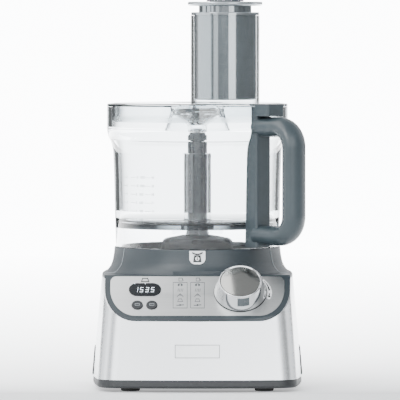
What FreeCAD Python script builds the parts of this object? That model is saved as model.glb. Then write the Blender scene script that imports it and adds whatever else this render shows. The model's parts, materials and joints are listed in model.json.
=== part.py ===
"""Compact food processor: power base with panel, clear bowl with D handle, lid with feed tube, pushers.

Units are millimetres. +Z is up, +X is the user's right, -Y faces the user. The origin is on the worktop at
the centre of the base's footprint. The bowl, the drive and the lid share one vertical axis at (0, BOWL_Y).
"""

import FreeCAD, Part
import math
import os

V = FreeCAD.Vector
UP = V(0, 0, 1)

# ---------------------------------------------------------------- driving dimensions
BOWL_Y = 25.0  # bowl and drive axis, behind the footprint's centre
DECK_Z = 120.0  # flat shoulder of the base, round the bowl collar
COLLAR_TOP_Z = 146.3
STEEL_LOW_Z = 12.8  # lower edge of the steel wrap
STEEL_TOP_Z = 117.0
STEEL_T = 1.2
WALL = 3.0  # moulded housings
SEAM_Y = -18.0  # parting plane between the front and the rear housing
STEEL_BACK_Y = 78.0  # where the steel wrap ends and the rear housing shows
FOOT_H = 4.0
FOOT_R = 10.0

PANEL_SLOPE = 45.0  # the control panel leans back by this much
PANEL_RISE = 189.2  # the panel plane is z = y + PANEL_RISE
PANEL_CORNER_X = 64.3  # centre of the panel's big lower corners
PANEL_CORNER_Z = 106.4
FASCIA_R = 27.0
BEZEL_R = 32.6
FASCIA_TOP_Z = 118.8
FASCIA_CORNER_R = 6.0
FASCIA_T = 1.5
KNOB_X, KNOB_Z = 45.0, 102.8
POINTER_X = KNOB_X + 3.0
DISPLAY_X, DISPLAY_Z = -54.8, 105.4
DISPLAY_HX, DISPLAY_HY = 17.0, 8.9
BOARD_Z = 102.6  # height of the display board's middle, behind the panel
BUTTONS = {"zero_button": -62.7, "unit_button": -47.5}  # x of each button
BUTTON_Z = 90.0
BUTTON_R = 5.85

DECK_RING_R = 85.4  # inside of the bowl collar
COLLAR_FOOT_R = 97.8
COLLAR_MID = (90.6, 131.5)  # where the collar starts to flare into the deck
FLARE_MID = (93.2, 125.15)
COLLAR_FRONT_R = 97.9  # upright cylinder that trims the flare behind the panel's top edge
COLLAR_FRONT_Y = 28.9

GLAND_X, GLAND_Z, GLAND_R = -62.0, 30.0, 9.0
GRIP_PAD_LOW_Z, GRIP_PAD_TOP_Z = 14.0, 41.5  # rubber pads low on the two sides
SCREWS = [(sx * 52.0, y) for sx in (-1, 1) for y in (-80.0, 66.0)]

BOWL_LOW_Z = 146.6
BOWL_WALL = 5.0
BOWL_FLOOR_Z = 171.2
BOWL_FLOOR_T = 4.6
BOWL_RIM_Z = 295.6
CHIMNEY_R = 14.6
CHIMNEY_TOP_Z = 247.0
SHAFT_R = 10.3
SHAFT_TOP_Z = 265.5

HANDLE_AZIMUTH = 42.0  # from the front towards the user's right
POST_OUT_R = 104.5
POST_TOP_Z = 296.4
ROD_R = 100.6
GRIP_R = 150.9  # bowl axis to the middle of the grip
GRIP_THICK = 20.8
GRIP_WIDE = 27.6
GRIP_LOW_Z = 161.2
GRIP_HIGH_Z = 275.3

LID_TOP_Z = 298.7
CHUTE_X = 29.8
CHUTE_Y = BOWL_Y + 38.0
CHUTE_HX = 37.0
CHUTE_HY = 34.0
CHUTE_CORNER_R = 33.4
CHUTE_WALL = 2.8
CHUTE_TOP_Z = 392.6
PUSHER_LOW_Z = 302.0
PUSHER_RIM_Z = 396.2  # top of the pusher flange that rests on the feed tube
PLATE_LOW_Z = 402.8
PLATE_TOP_Z = 407.4
PLATE_HX = 40.2
NECK_HX = 28.3

MOTOR_Y = -46.0
PULLEY_Z = 15.0
CHASSIS_Z = 27.0
GAP = 0.3  # clearance between bodies

shapes = {}


# ---------------------------------------------------------------- helpers
def box(x0, x1, y0, y1, z0, z1):
    """Axis-aligned block between two corners."""
    return Part.makeBox(x1 - x0, y1 - y0, z1 - z0, V(x0, y0, z0))


def disc(r, z0, z1, x=0.0, y=BOWL_Y):
    """Upright cylinder."""
    return Part.makeCylinder(r, z1 - z0, V(x, y, z0), UP)


def tube(r_out, r_in, z0, z1, x=0.0, y=BOWL_Y):
    """Upright cylinder with a bore."""
    return disc(r_out, z0, z1, x, y).cut(disc(r_in, z0 - 1, z1 + 1, x, y))


def turned(points, x=0.0, y=BOWL_Y):
    """Closed (r, z) outline turned about an upright axis; (r, z, (mid r, mid z)) is the end of an arc."""
    edges = []
    last = points[-1]
    for point in points:
        a = V(x + last[0], y, last[1])
        b = V(x + point[0], y, point[1])
        if len(point) == 3:
            mid = V(x + point[2][0], y, point[2][1])
            edges.append(Part.Arc(a, mid, b).toShape())
        else:
            edges.append(Part.LineSegment(a, b).toShape())
        last = point
    face = Part.Face(Part.Wire(edges))
    return face.revolve(V(x, y, 0), UP, 360)


def rounded_block(hx, hy, r, z0, z1, x, y):
    """Upright block with round vertical corners."""
    block = box(x - hx, x + hx, y - hy, y + hy, z0, z1)
    return block.makeFillet(r, [e for e in block.Edges if abs(e.tangentAt(e.FirstParameter).z) > 0.9])


def soften(shape, r, wanted):
    """Fillets the edges that wanted(edge) picks."""
    edges = [e for e in shape.Edges if wanted(e)]
    return shape.makeFillet(r, edges) if edges else shape


def level_edge(z, tol=0.01):
    """Picks the edges that lie at one height."""
    return lambda e: abs(e.BoundBox.ZMin - z) < tol and abs(e.BoundBox.ZMax - z) < tol


def around(shape, count, x=0.0, y=BOWL_Y, start=0.0):
    """List of copies of shape turned about an upright axis."""
    turns = []
    for i in range(count):
        turn = shape.copy()
        turn.rotate(V(x, y, 0), UP, start + 360.0 * i / count)
        turns.append(turn)
    return turns


def fuse_all(parts):
    """One solid from several that touch or overlap."""
    whole = parts[0].multiFuse(parts[1:])
    return whole.removeSplitter()


def keep(name, shape):
    """Stores a node's shape, which is one or more closed solids."""
    shapes[name] = shape


def radial(shape):
    """Turns something modelled towards -Y about the bowl axis to the handle's direction."""
    shape.rotate(V(0, BOWL_Y, 0), UP, HANDLE_AZIMUTH)
    return shape


# ---------------------------------------------------------------- base outline
def lerp(a, b, t):
    return a + (b - a) * t


def base_plan(z, inset):
    """Barrel-shaped outline of the base at height z: bowed front, sides and back."""
    t = (z - STEEL_LOW_Z) / (DECK_Z - STEEL_LOW_Z)
    corner_f = lerp(102.0, 93.5, t) - inset
    middle = lerp(110.6, 100.9, t) - inset
    corner_b = lerp(99.0, 90.5, t) - inset
    front = lerp(-122.0, -110.8, t) + inset
    back = lerp(122.0, 115.5, t) - inset
    bow_f, bow_b = 8.0, 6.0
    fl, fr = V(-corner_f, front + bow_f, z), V(corner_f, front + bow_f, z)
    bl, br = V(-corner_b, back - bow_b, z), V(corner_b, back - bow_b, z)
    return Part.Wire(
        [
            Part.Arc(fl, V(0, front, z), fr).toShape(),
            Part.Arc(fr, V(middle, 0, z), br).toShape(),
            Part.Arc(br, V(0, back, z), bl).toShape(),
            Part.Arc(bl, V(-middle, 0, z), fl).toShape(),
        ]
    )


def base_solid(inset, z0, z1, corner=24.0):
    """The base's tapered body, pulled in by inset all round."""
    body = Part.makeLoft([base_plan(z0, inset), base_plan(z1, inset)], True, True)
    upright = [e for e in body.Edges if e.BoundBox.ZLength > 0.9 * (z1 - z0)]
    return body.makeFillet(corner - inset, upright)


def below_panel(depth=0.0):
    """Everything under the sloping panel plane, sunk by depth along the plane's normal."""
    rise = PANEL_RISE - depth * math.sqrt(2.0)
    low, far = -60.0, 400.0
    side = Part.makePolygon(
        [V(0, low - rise, low), V(0, far, low), V(0, far, far + rise), V(0, low - rise, low)]
    )
    return Part.Face(side).extrude(V(600, 0, 0)).translated(V(-300, 0, 0))


def u_prism(r, top_z, y0, y1, top_r=0.0):
    """Front-view outline with flat top and two big round lower corners, run through from y0 to y1."""
    cx, cz = PANEL_CORNER_X, PANEL_CORNER_Z
    k = r * math.sqrt(0.5)
    left, right, low = -cx - r, cx + r, cz - r
    wire = Part.Wire(
        [
            Part.LineSegment(V(left, y0, top_z), V(left, y0, cz)).toShape(),
            Part.Arc(V(left, y0, cz), V(-cx - k, y0, cz - k), V(-cx, y0, low)).toShape(),
            Part.LineSegment(V(-cx, y0, low), V(cx, y0, low)).toShape(),
            Part.Arc(V(cx, y0, low), V(cx + k, y0, cz - k), V(right, y0, cz)).toShape(),
            Part.LineSegment(V(right, y0, cz), V(right, y0, top_z)).toShape(),
            Part.LineSegment(V(right, y0, top_z), V(left, y0, top_z)).toShape(),
        ]
    )
    prism = Part.Face(wire).extrude(V(0, y1 - y0, 0))
    if top_r > 0:
        prism = soften(prism, top_r, lambda e: e.BoundBox.YLength > 50 and e.BoundBox.ZMin > top_z - 0.01)
    return prism


# Panel frame: u runs right, v up the slope, w out of the panel.
PANEL_N = V(0, -math.sqrt(0.5), math.sqrt(0.5))


def on_panel(x, z, out=0.0):
    """Point on the panel plane at a given x and height, moved out along the normal."""
    return V(x, z - PANEL_RISE, z) + PANEL_N * out


def panel_disc(r, x, z, w0, w1):
    """Cylinder standing square to the panel, from w0 to w1 above it."""
    return Part.makeCylinder(r, w1 - w0, on_panel(x, z, w0), PANEL_N)


def panel_slot(half_long, half_high, x, z, w0, w1):
    """Stadium-shaped pad square to the panel, long across it."""
    r = half_high
    run = half_long - r
    bar = Part.makeBox(2 * run, 2 * r, w1 - w0, V(-run, -r, w0))
    pad = bar.fuse([Part.makeCylinder(r, w1 - w0, V(s * run, 0, w0), UP) for s in (-1, 1)])
    pad = pad.removeSplitter()
    pad.rotate(V(0, 0, 0), V(1, 0, 0), 90.0 - PANEL_SLOPE)
    return pad.translated(on_panel(x, z))


# ---------------------------------------------------------------- base housings


def collar():
    """Bowl collar: a short ring that flares out into the deck, with a ledge inside for the bowl deck."""
    return turned(
        [
            (DECK_RING_R, COLLAR_TOP_Z - 1.0),
            (DECK_RING_R + 1.0, COLLAR_TOP_Z),
            (87.6, COLLAR_TOP_Z),
            (88.3, COLLAR_TOP_Z - 0.3),
            (88.6, COLLAR_TOP_Z - 1.0),
            (*COLLAR_MID, (89.3, 138.5)),
            (COLLAR_FOOT_R, DECK_Z, FLARE_MID),
            (COLLAR_FOOT_R, STEEL_TOP_Z),
            (80.0, STEEL_TOP_Z),
            (80.0, 131.0),
            (DECK_RING_R, 131.0),
        ]
    )


def along_y(r, y0, y1, x, z):
    """Cylinder along Y."""
    return Part.makeCylinder(r, y1 - y0, V(x, y0, z), V(0, 1, 0))


def panel_block(x0, x1, v0, v1, w0, w1, z_ref):
    """Block square to the panel: v runs up the slope from the height z_ref, w out along the normal."""
    block = box(x0, x1, v0, v1, w0, w1)
    block.rotate(V(0, 0, 0), V(1, 0, 0), 90.0 - PANEL_SLOPE)
    return block.translated(on_panel(0, z_ref))


def housings():
    """Steel wrap, front housing with its panel, rear housing and base plate."""
    under = below_panel()
    steel_outer = base_solid(0.0, STEEL_LOW_Z, STEEL_TOP_Z)
    steel_inner = base_solid(STEEL_T, STEEL_LOW_Z - 1, STEEL_TOP_Z + 1)
    bezel_zone = u_prism(BEZEL_R, 200.0, -200.0, SEAM_Y)
    steel = steel_outer.cut(steel_inner).common(under).cut(bezel_zone)
    steel = steel.common(box(-200, 200, -200, STEEL_BACK_Y, 0, 300))
    keep("steel_wrap", biggest(steel))

    deck = base_solid(0.0, STEEL_TOP_Z, DECK_Z)
    deck = soften(deck, 1.4, level_edge(DECK_Z))
    ring = collar()
    upper = deck.cut(disc(COLLAR_FOOT_R - 2.0, 0, 300)).fuse(ring).removeSplitter()
    room = base_solid(WALL, STEEL_LOW_Z - 4, STEEL_TOP_Z).common(below_panel(WALL))
    bezel = base_solid(0.0, 60.0, STEEL_TOP_Z).common(bezel_zone).cut(room)
    front_room = under.fuse(disc(COLLAR_FRONT_R, 118.0, 150.0, 0, COLLAR_FRONT_Y))
    grey_front = bezel.fuse(upper).common(front_room).common(box(-200, 200, -200, SEAM_Y, 0, 300))
    pocket = u_prism(FASCIA_R, FASCIA_TOP_Z, -200.0, SEAM_Y, FASCIA_CORNER_R).cut(below_panel(FASCIA_T))
    grey_front = grey_front.cut(pocket)
    grey_front = grey_front.cut(panel_disc(6.0, KNOB_X, KNOB_Z, -20, 20))
    grey_front = grey_front.cut(panel_slot(DISPLAY_HX - 2, DISPLAY_HY - 2, DISPLAY_X, DISPLAY_Z, -20, 20))
    for x in BUTTONS.values():
        grey_front = grey_front.cut(panel_disc(BUTTON_R + GAP, x, BUTTON_Z, -20, 20))
    keep("front_housing", biggest(grey_front.removeSplitter()))

    shell = base_solid(0.0, STEEL_LOW_Z, STEEL_TOP_Z).cut(room)
    shell = shell.common(box(-200, 200, STEEL_BACK_Y, 200, 0, 300))
    grey_rear = upper.common(box(-200, 200, SEAM_Y, 200, 0, 300)).fuse(shell)
    for row in range(7):
        z = 62.0 + 6.0 * row
        for side in (-1, 1):
            slot = box(side * 43.0 - 24.0, side * 43.0 + 24.0, 80, 200, z, z + 2.6)
            grey_rear = grey_rear.cut(slot)
    grey_rear = grey_rear.cut(along_y(GLAND_R, 90, 200, GLAND_X, GLAND_Z))
    keep("rear_housing", biggest(grey_rear.removeSplitter()))

    rim = base_solid(0.6, FOOT_H, STEEL_LOW_Z)
    rim = soften(rim, 2.5, level_edge(FOOT_H))
    upstand = base_solid(WALL + 0.4, FOOT_H + 2, STEEL_LOW_Z + 6.0)
    tray = rim.fuse(upstand).cut(base_solid(2 * WALL, FOOT_H + WALL, 40.0)).removeSplitter()
    for x in (-45, -15, 15, 45):
        tray = tray.cut(box(x - 11, x + 11, 78, 81, 0, 20))
    for x, y in SCREWS:
        tray = tray.cut(disc(1.7, 0, 20, x, y)).cut(disc(3.5, 0, FOOT_H + 1.4, x, y))
    keep("base_plate", biggest(tray))


def biggest(shape):
    """The largest solid of a shape, so that no crumb from a cut stays."""
    return max(shape.Solids, key=lambda s: s.Volume)


def small_base_parts():
    """Feet, grips, fascia, badges and the gland."""
    feet = [disc(FOOT_R, 0, FOOT_H, sx * 70.0, y) for sx in (-1, 1) for y in (-92.0, 92.0)]
    feet = [soften(f, 1.2, level_edge(0)) for f in feet]
    keep("feet", Part.makeCompound(feet))

    steel_body = base_solid(0.0, STEEL_LOW_Z, STEEL_TOP_Z)
    grip_shell = base_solid(-1.1, GRIP_PAD_LOW_Z, GRIP_PAD_TOP_Z).cut(steel_body)
    for name, side in (("left_side_grip", -1), ("right_side_grip", 1)):
        x0, x1 = sorted((side * 90, side * 130))
        wedge = Part.Face(
            Part.makePolygon(
                [
                    V(x0, -46, GRIP_PAD_LOW_Z),
                    V(x0, 46, GRIP_PAD_LOW_Z),
                    V(x0, 28, GRIP_PAD_TOP_Z),
                    V(x0, -28, GRIP_PAD_TOP_Z),
                    V(x0, -46, GRIP_PAD_LOW_Z),
                ]
            )
        ).extrude(V(x1 - x0, 0, 0))
        keep(name, biggest(grip_shell.common(wedge)))

    fascia = u_prism(FASCIA_R - 0.15, FASCIA_TOP_Z - 0.15, -200.0, SEAM_Y, FASCIA_CORNER_R - 0.15)
    fascia = fascia.common(below_panel()).cut(below_panel(FASCIA_T))
    fascia = fascia.cut(panel_disc(6.0, KNOB_X, KNOB_Z, -20, 20))
    fascia = fascia.cut(panel_slot(DISPLAY_HX, DISPLAY_HY, DISPLAY_X, DISPLAY_Z, -20, 20))
    for x in BUTTONS.values():
        fascia = fascia.cut(panel_disc(BUTTON_R + GAP, x, BUTTON_Z, -20, 20))
    keep("fascia_plate", biggest(fascia))

    window = panel_slot(DISPLAY_HX - 0.1, DISPLAY_HY - 0.1, DISPLAY_X, DISPLAY_Z, -FASCIA_T, 0.6)
    window = window.fuse(panel_slot(DISPLAY_HX - 2.2, DISPLAY_HY - 2.2, DISPLAY_X, DISPLAY_Z, -4.0, 0))
    keep("display_window", window.removeSplitter())

    board = panel_block(-82, -32, -28, 12, -10.2, -8.6, BOARD_Z)
    module = panel_block(-70, -40, -4, 12, -8.6, -4.0, BOARD_Z)
    for x in BUTTONS.values():
        module = module.fuse(panel_disc(3.2, x, BUTTON_Z, -8.6, -7.6))
    keep("display_board", fuse_all([board, module]))

    plate = box(-24.2, 24.2, -140, -100, 35.0, 50.6)
    plate = soften(plate, 1.5, lambda e: e.BoundBox.YLength > 30)
    badge = plate.common(base_solid(-0.8, STEEL_LOW_Z, STEEL_TOP_Z)).cut(steel_body)
    keep("badge_plate", biggest(badge))

    shield = turned([(110, 128.0), (110, 145.3), (80, 145.3), (80, 128.0)]).cut(collar_block(0.05))
    shield = shield.common(collar_block(0.8)).common(shield_prism())
    keep("scale_badge", biggest(shield))

    gland = along_y(GLAND_R - 0.1, 96, 121, GLAND_X, GLAND_Z)
    gland = gland.fuse(along_y(GLAND_R + 3, 120.0, 124.0, GLAND_X, GLAND_Z))
    gland = gland.fuse(along_y(GLAND_R + 2, 100, 104, GLAND_X, GLAND_Z))
    gland = gland.common(box(-100, 0, 90, 124, 0, 60)).cut(along_y(3.6, 80, 140, GLAND_X, GLAND_Z))
    rear_wall = steel_body.cut(base_solid(WALL, STEEL_LOW_Z - 4, STEEL_TOP_Z))
    ring = along_y(GLAND_R + 5, 90, 140, GLAND_X, GLAND_Z)
    ring = ring.cut(along_y(GLAND_R - 0.1, 80, 140, GLAND_X, GLAND_Z))
    keep("cord_gland", biggest(gland.cut(rear_wall.common(ring))))


def collar_block(out):
    """The collar's outside as a solid, swollen by out, for shaping what lies on it."""
    return turned(
        [
            (0, 120.0),
            (COLLAR_FOOT_R + out, DECK_Z),
            (COLLAR_MID[0] + out, COLLAR_MID[1], (FLARE_MID[0] + out, FLARE_MID[1])),
            (88.6 + out, COLLAR_TOP_Z - 1.0, (89.3 + out, 138.5)),
            (0, COLLAR_TOP_Z - 1.0),
        ]
    )


def shield_prism():
    """Badge outline seen from the front: straight sides, flat top, rounded foot."""
    half, top, mid, low = 8.4, 145.1, 136.4, 131.4
    wire = Part.Wire(
        [
            Part.LineSegment(V(-half, -100, top), V(-half, -100, mid)).toShape(),
            Part.Arc(V(-half, -100, mid), V(-half * 0.72, -100, low + 1.2), V(0, -100, low)).toShape(),
            Part.Arc(V(0, -100, low), V(half * 0.72, -100, low + 1.2), V(half, -100, mid)).toShape(),
            Part.LineSegment(V(half, -100, mid), V(half, -100, top)).toShape(),
            Part.LineSegment(V(half, -100, top), V(-half, -100, top)).toShape(),
        ]
    )
    return Part.Face(wire).extrude(V(0, 60, 0))


def deck_parts():
    """Deck inside the collar, the raised boss on it and the spindle's seal."""
    floor = disc(DECK_RING_R - 0.05, 131.0, 134.0)
    boss = turned([(0, 116), (17, 116), (17, 131), (19, 134), (15.5, 145.5), (14.5, 146.5), (0, 146.5)])
    deck = floor.fuse(boss).cut(disc(6.4, 100, 200)).cut(disc(10.0, 100, 126.0)).cut(disc(10.0, 140, 200))
    keep("bowl_deck", deck.removeSplitter())
    seal = turned([(5.1, 140.1), (9.95, 140.1), (9.95, 146.0), (8.6, 146.0), (7.4, 142.5), (5.1, 143.8)])
    keep("spindle_seal", seal)
    boss = turned(
        [
            (20.0, 134.0),
            (38.5, 134.0),
            (38.0, 148.0),
            (33.0, 154.6, (36.6, 152.2)),
            (17.5, 157.6),
            (15.4, 156.4),
            (15.4, 148.0),
            (19.5, 147.0),
        ]
    )
    for lobe in around(disc(7.0, 150.0, 170.0, 40.5, BOWL_Y), 6, 0, BOWL_Y, 30.0):
        boss = boss.cut(lobe)
    keep("deck_boss", biggest(boss))


def bearing(r_in, r_out, z0, z1, x, y):
    """Ball bearing drawn as one ring with shallow grooves in its faces."""
    ring = tube(r_out, r_in, z0, z1, x, y)
    middle = (r_in + r_out) / 2
    groove = tube(middle + 1.2, middle - 1.2, z1 - 0.5, z1 + 1, x, y)
    return ring.cut(groove)


def drive_train():
    """Chassis, motor, pulleys, belt, spindle and the bowl's drive shaft."""
    plate = rounded_block(62, 84, 10, CHASSIS_Z, CHASSIS_Z + 4, 0, -7)
    posts = [disc(5.0, 7.0, CHASSIS_Z + 1, x, y) for x, y in SCREWS]
    seats = [disc(15.0, CHASSIS_Z - 2, CHASSIS_Z + 9, 0, y) for y in (MOTOR_Y, BOWL_Y)]
    chassis = fuse_all([plate] + posts + seats)
    for y in (MOTOR_Y, BOWL_Y):
        chassis = chassis.cut(disc(6.0, 0, 60, 0, y)).cut(disc(11.0, CHASSIS_Z + 1, 60, 0, y))
    for x, y in SCREWS:
        chassis = chassis.cut(disc(1.75, 0, 18, x, y))
    lugs = [disc(4.0, CHASSIS_Z + 4, 48.0, sx * 38.0, MOTOR_Y) for sx in (-1, 1)]
    keep("chassis", fuse_all([chassis] + lugs))

    screws = []
    for x, y in SCREWS:
        screws.append(disc(3.2, FOOT_H + 0.1, FOOT_H + 1.4, x, y).fuse(disc(1.6, FOOT_H + 1.4, 16, x, y)))
    keep("screws", Part.makeCompound([s.removeSplitter() for s in screws]))

    z_seat = CHASSIS_Z + 1
    low = [bearing(r, 10.95, z_seat, z_seat + 7, 0, y) for r, y in ((4.05, MOTOR_Y), (5.05, BOWL_Y))]
    keep("spindle_bearings", Part.makeCompound([low[1], bearing(5.05, 9.95, 118.5, 126.0, 0, BOWL_Y)]))
    keep("motor_bearings", Part.makeCompound([low[0], bearing(4.05, 7.95, 96.0, 101.0, 0, MOTOR_Y)]))

    stack = rounded_block(43, 31, 12, 48, 80, 0, MOTOR_Y).cut(disc(21.6, 0, 200, 0, MOTOR_Y))
    coils = [rounded_block(30, 29, 10, z0, z1, 0, MOTOR_Y) for z0, z1 in ((43, 48), (80, 86))]
    coils = [c.cut(disc(23.0, 0, 200, 0, MOTOR_Y)) for c in coils]
    keep("motor_stator", stack)
    keep("field_coils", Part.makeCompound(coils))

    bridge = box(-43, 43, MOTOR_Y - 9, MOTOR_Y + 9, 96, 100).fuse(disc(11, 96, 102, 0, MOTOR_Y))
    legs = [box(x - 3, x + 3, MOTOR_Y - 9, MOTOR_Y + 9, 80, 98) for x in (-39, 39)]
    frame = fuse_all([bridge] + legs)
    frame = frame.cut(disc(8.0, 90, 101, 0, MOTOR_Y)).cut(disc(4.6, 90, 110, 0, MOTOR_Y))
    keep("motor_frame", frame)
    brushes = []
    for side in (-1, 1):
        x0, x1 = sorted((side * 11.5, side * 35.9))
        brushes.append(box(x0, x1, MOTOR_Y - 4, MOTOR_Y + 4, 87.5, 95.0))
    keep("brush_holders", Part.makeCompound(brushes))

    def at_motor(r, z0, z1):
        return disc(r, z0, z1, 0, MOTOR_Y)

    core = at_motor(20.8, 49, 79)
    slot = box(17.0, 22.0, -1.0, 1.0, 40, 90).translated(V(0, MOTOR_Y, 0))
    for cutter in around(slot, 12, 0, MOTOR_Y):
        core = core.cut(cutter)
    shaft = at_motor(4.0, 12.5, 100.5)
    keep("rotor", fuse_all([shaft, core, at_motor(10.8, 86.5, 95.2), at_motor(16, 45, 84)]))
    hub = tube(9.0, 4.0, 36.8, 43.0, 0, MOTOR_Y).fuse(tube(29.0, 4.0, 36.8, 38.0, 0, MOTOR_Y))
    blade = box(8.0, 28.5, -0.8, 0.8, 37.5, 42.6).translated(V(0, MOTOR_Y, 0))
    fan = hub.multiFuse(around(blade, 11, 0, MOTOR_Y)).removeSplitter()
    keep("cooling_fan", fan)

    keep("motor_pulley", pulley(9.0, 4.0, 0, MOTOR_Y))
    keep("spindle_pulley", pulley(36.0, 5.0, 0, BOWL_Y))
    keep("drive_belt", belt(9.0 + 0.5, 36.0 + 0.5, 2.2))

    hexagon = hex_prism(5.6, 150.0, 196.0)
    spindle = fuse_all([disc(5.0, 9.5, 152.0), hexagon])
    keep("drive_spindle", soften(spindle, 0.8, level_edge(196.0)))

    ribs = around(box(8.4, SHAFT_R, -0.9, 0.9, 172.0, SHAFT_TOP_Z - 4).translated(V(0, BOWL_Y, 0)), 12)
    core = turned(
        [
            (0, 147.6),
            (12.0, 147.6),
            (12.6, 160.4),
            (11.7, 161.0),
            (11.7, 170.0),
            (9.0, 171.5),
            (9.0, SHAFT_TOP_Z - 3),
            (8.0, SHAFT_TOP_Z),
            (0, SHAFT_TOP_Z),
        ]
    )
    shaft = core.multiFuse(ribs).removeSplitter()
    shaft = shaft.cut(hex_prism(5.95, 140.0, 198.0)).cut(disc(3.06, 244.0, 300.0))
    keep("drive_shaft", biggest(shaft))


def hex_prism(across_half, z0, z1):
    """Hexagonal bar on the bowl axis; across_half is half the size across its flats."""
    r = across_half / math.cos(math.radians(30))
    points = []
    for i in range(7):
        a = math.radians(60 * i)
        points.append(V(r * math.cos(a), BOWL_Y + r * math.sin(a), z0))
    return Part.Face(Part.makePolygon(points)).extrude(V(0, 0, z1 - z0))


def pulley(r, r_bore, x, y):
    """Flat belt pulley with two flanges."""
    z = PULLEY_Z
    outline = [
        (r_bore, z - 2),
        (r + 2.0, z - 2),
        (r + 2.0, z - 0.6),
        (r, z),
        (r, z + 6),
        (r + 2.0, z + 6.6),
        (r + 2.0, z + 8),
        (r_bore, z + 8),
    ]
    wheel = turned(outline, x, y)
    if r > 20:
        for hole in around(disc(6.5, 0, 60, x + 20.0, y), 5, x, y):
            wheel = wheel.cut(hole)
    return wheel


def belt(r_small, r_big, thick):
    """Flat belt round both pulleys, drawn as one closed loop."""

    def loop(extra):
        r1, r2 = r_small + extra, r_big + extra
        run = BOWL_Y - MOTOR_Y
        lean = math.asin((r2 - r1) / run)
        c, s = math.cos(lean), math.sin(lean)
        z = PULLEY_Z + 0.5
        a = V(-r1 * c, MOTOR_Y - r1 * s, z)
        b = V(r1 * c, MOTOR_Y - r1 * s, z)
        d = V(r2 * c, BOWL_Y - r2 * s, z)
        e = V(-r2 * c, BOWL_Y - r2 * s, z)
        wire = Part.Wire(
            [
                Part.Arc(a, V(0, MOTOR_Y - r1, z), b).toShape(),
                Part.LineSegment(b, d).toShape(),
                Part.Arc(d, V(0, BOWL_Y + r2, z), e).toShape(),
                Part.LineSegment(e, a).toShape(),
            ]
        )
        return Part.Face(wire).extrude(V(0, 0, 5))

    return loop(thick).cut(loop(0))


def electrics():
    """Speed switch behind the dial, mains board, load cells."""
    switch = panel_disc(11.0, KNOB_X, KNOB_Z, -18.0, -4.5).fuse(panel_disc(4.5, KNOB_X, KNOB_Z, -5.0, -3.0))
    switch = switch.fuse(panel_block(KNOB_X - 9, KNOB_X + 9, -14, -8, -14, -9, KNOB_Z))
    switch = switch.cut(panel_disc(3.1, KNOB_X, KNOB_Z, -15.0, 0))
    keep("speed_switch", switch.removeSplitter())

    board = box(52, 54, -48, 58, 36, 96)
    pegs = [box(49, 55, y - 3, y + 3, CHASSIS_Z + 4, 38) for y in (-40, 50)]
    keep("power_board", fuse_all([board] + pegs))
    parts = [
        Part.makeCylinder(9, 22, V(54, -30, 60), V(1, 0, 0)),
        Part.makeCylinder(6, 16, V(54, -5, 80), V(1, 0, 0)),
        box(54, 74, 8, 40, 44, 70),
        box(54, 66, 14, 34, 76, 92),
        box(54, 70, -40, -20, 42, 48),
    ]
    keep("power_parts", Part.makeCompound(parts))

    cells = []
    for sx in (-1, 1):
        for y in (-92.0, 92.0):
            cell = box(sx * 70 - 9, sx * 70 + 9, y - 6, y + 6, 7.0, 12.0)
            cells.append(cell.cut(along_y(1.6, y - 20, y + 20, sx * 70 - 2, 9.5)))
    keep("load_cells", Part.makeCompound(cells))


def dial():
    """Conical chromed skirt, domed cap, pointer and spindle, all square to the panel."""

    def turned_on_panel(points):
        shape = turned(points, 0, 0)
        shape.rotate(V(0, 0, 0), V(1, 0, 0), 90.0 - PANEL_SLOPE)
        return shape.translated(on_panel(KNOB_X, KNOB_Z))

    skirt = turned_on_panel(
        [
            (23.6, 0.4),
            (26.2, 0.4),
            (27.3, 1.4, (27.0, 0.7)),
            (22.6, 16.6),
            (21.4, 17.8, (22.4, 17.5)),
            (20.4, 17.0),
            (20.4, 15.0),
            (5.5, 15.0),
            (5.5, 3.0),
            (8.5, 3.0),
            (8.5, 12.5),
            (20.0, 12.5),
        ]
    )
    window = panel_block(POINTER_X - 6.2, POINTER_X + 6.2, -40, -18, 6.6, 15.6, KNOB_Z)
    pointer = skirt.common(window)
    keep("dial_pointer", biggest(pointer))
    keep("dial_skirt", biggest(skirt.cut(window)))
    dome_r = 87.5
    cap = disc(20.35, 15.0, 20.0, 0, 0).common(Part.makeSphere(dome_r, V(0, 0, 19.6 - dome_r)))
    cap.rotate(V(0, 0, 0), V(1, 0, 0), 90.0 - PANEL_SLOPE)
    keep("dial_cap", biggest(cap.translated(on_panel(KNOB_X, KNOB_Z))))
    rod = panel_disc(3.0, KNOB_X, KNOB_Z, -14.0, 3.0).fuse(panel_disc(5.5, KNOB_X, KNOB_Z, 0.8, 15.0))
    keep("dial_spindle", rod.removeSplitter())


def buttons():
    """Two round push buttons with stems and retaining flanges."""
    for name, x in BUTTONS.items():
        head = panel_disc(BUTTON_R, x, BUTTON_Z, -3.6, 1.2)
        edges = [e for e in head.Edges if e.BoundBox.Center.sub(on_panel(x, BUTTON_Z, 1.2)).Length < 0.5]
        head = head.makeFillet(0.6, [e for e in edges if e.Length > 20])
        flange = panel_disc(BUTTON_R + 1.4, x, BUTTON_Z, -4.8, -3.4)
        stem = panel_disc(2.5, x, BUTTON_Z, -6.3, -4.0)
        keep(name, fuse_all([head, flange, stem]))


def bowl_outer(extra=0.0):
    """Outside profile of the bowl's wall from its foot to its rim, as (r, z) entries."""
    e = extra
    return [
        (87.0 + e, BOWL_LOW_Z),
        (88.2 + e, 185.0),
        (89.9 + e, 247.0, (88.9 + e, 217.0)),
        (93.1 + e, 260.2, (90.9 + e, 253.9)),
        (96.5 + e, 273.0, (95.6 + e, 266.3)),
        (96.5 + e, BOWL_RIM_Z),
    ]


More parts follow.
